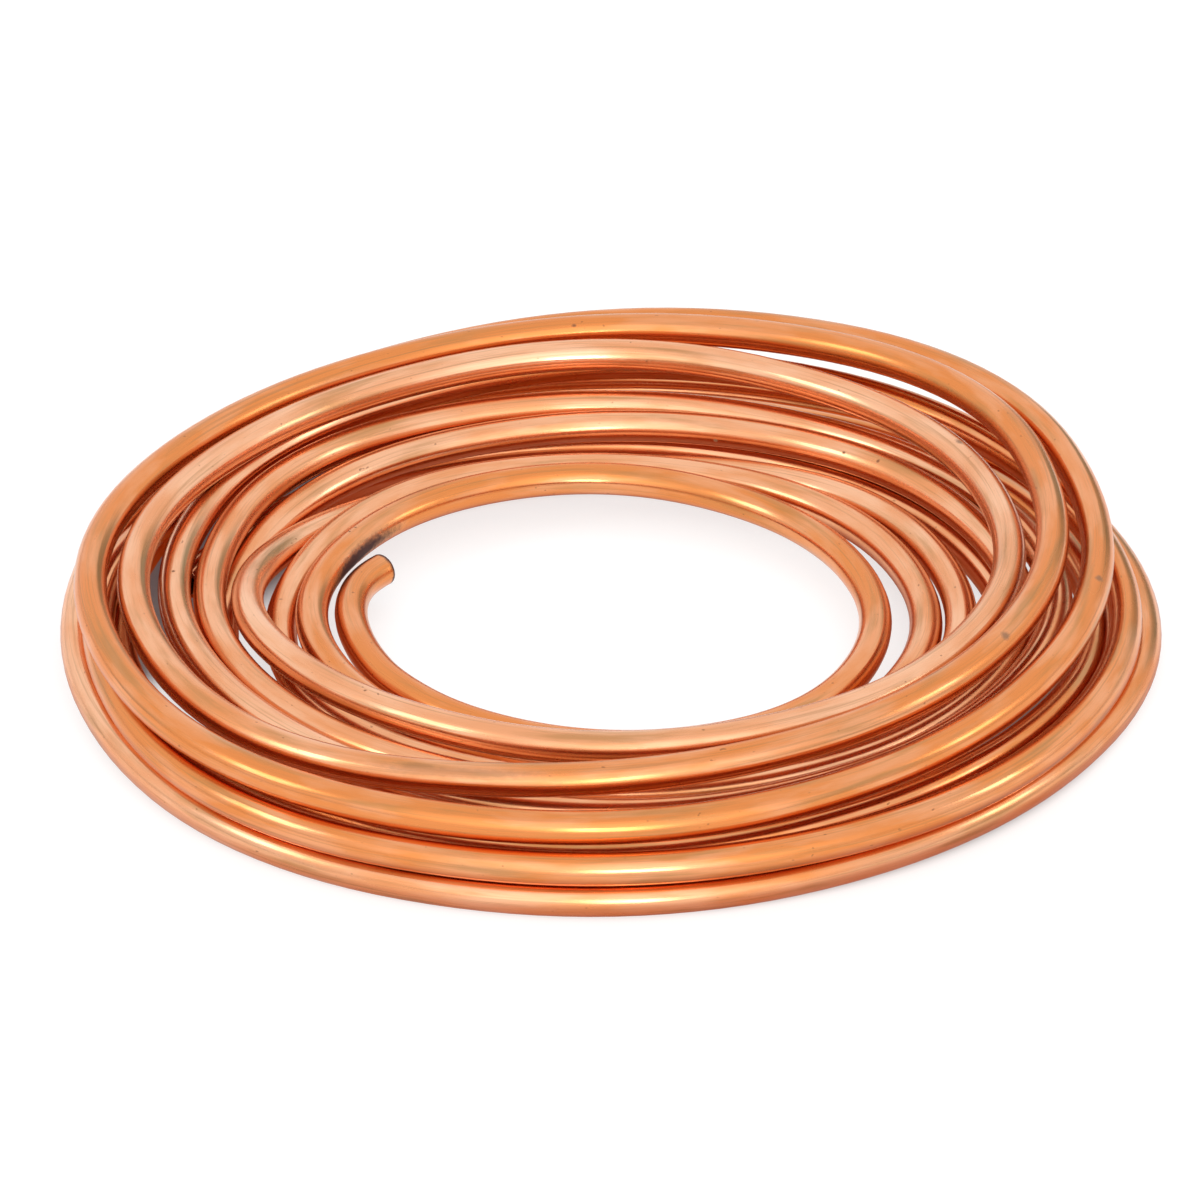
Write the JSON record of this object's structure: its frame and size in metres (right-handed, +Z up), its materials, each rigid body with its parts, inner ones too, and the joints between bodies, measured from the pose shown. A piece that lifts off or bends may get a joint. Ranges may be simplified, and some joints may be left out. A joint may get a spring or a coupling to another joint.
{
  "type": "copper tube coil",
  "caption": "Loose coil of soft drawn copper tube, one plain length wound in overlapping turns round an open eye, with a free cut end inside.",
  "frame": {"origin": "on the floor under the middle of the coil's outline", "axes": "+Z up along the coil's axis, +X to the right and +Y away from the viewer in the picture"},
  "size_m": [0.2114, 0.2114, 0.0268],
  "materials": {
    "copper": "satin drawn copper, slightly scuffed"
  },
  "bodies": {
    "root": {"copper_tube": "copper"}
  },
  "joints": []
}
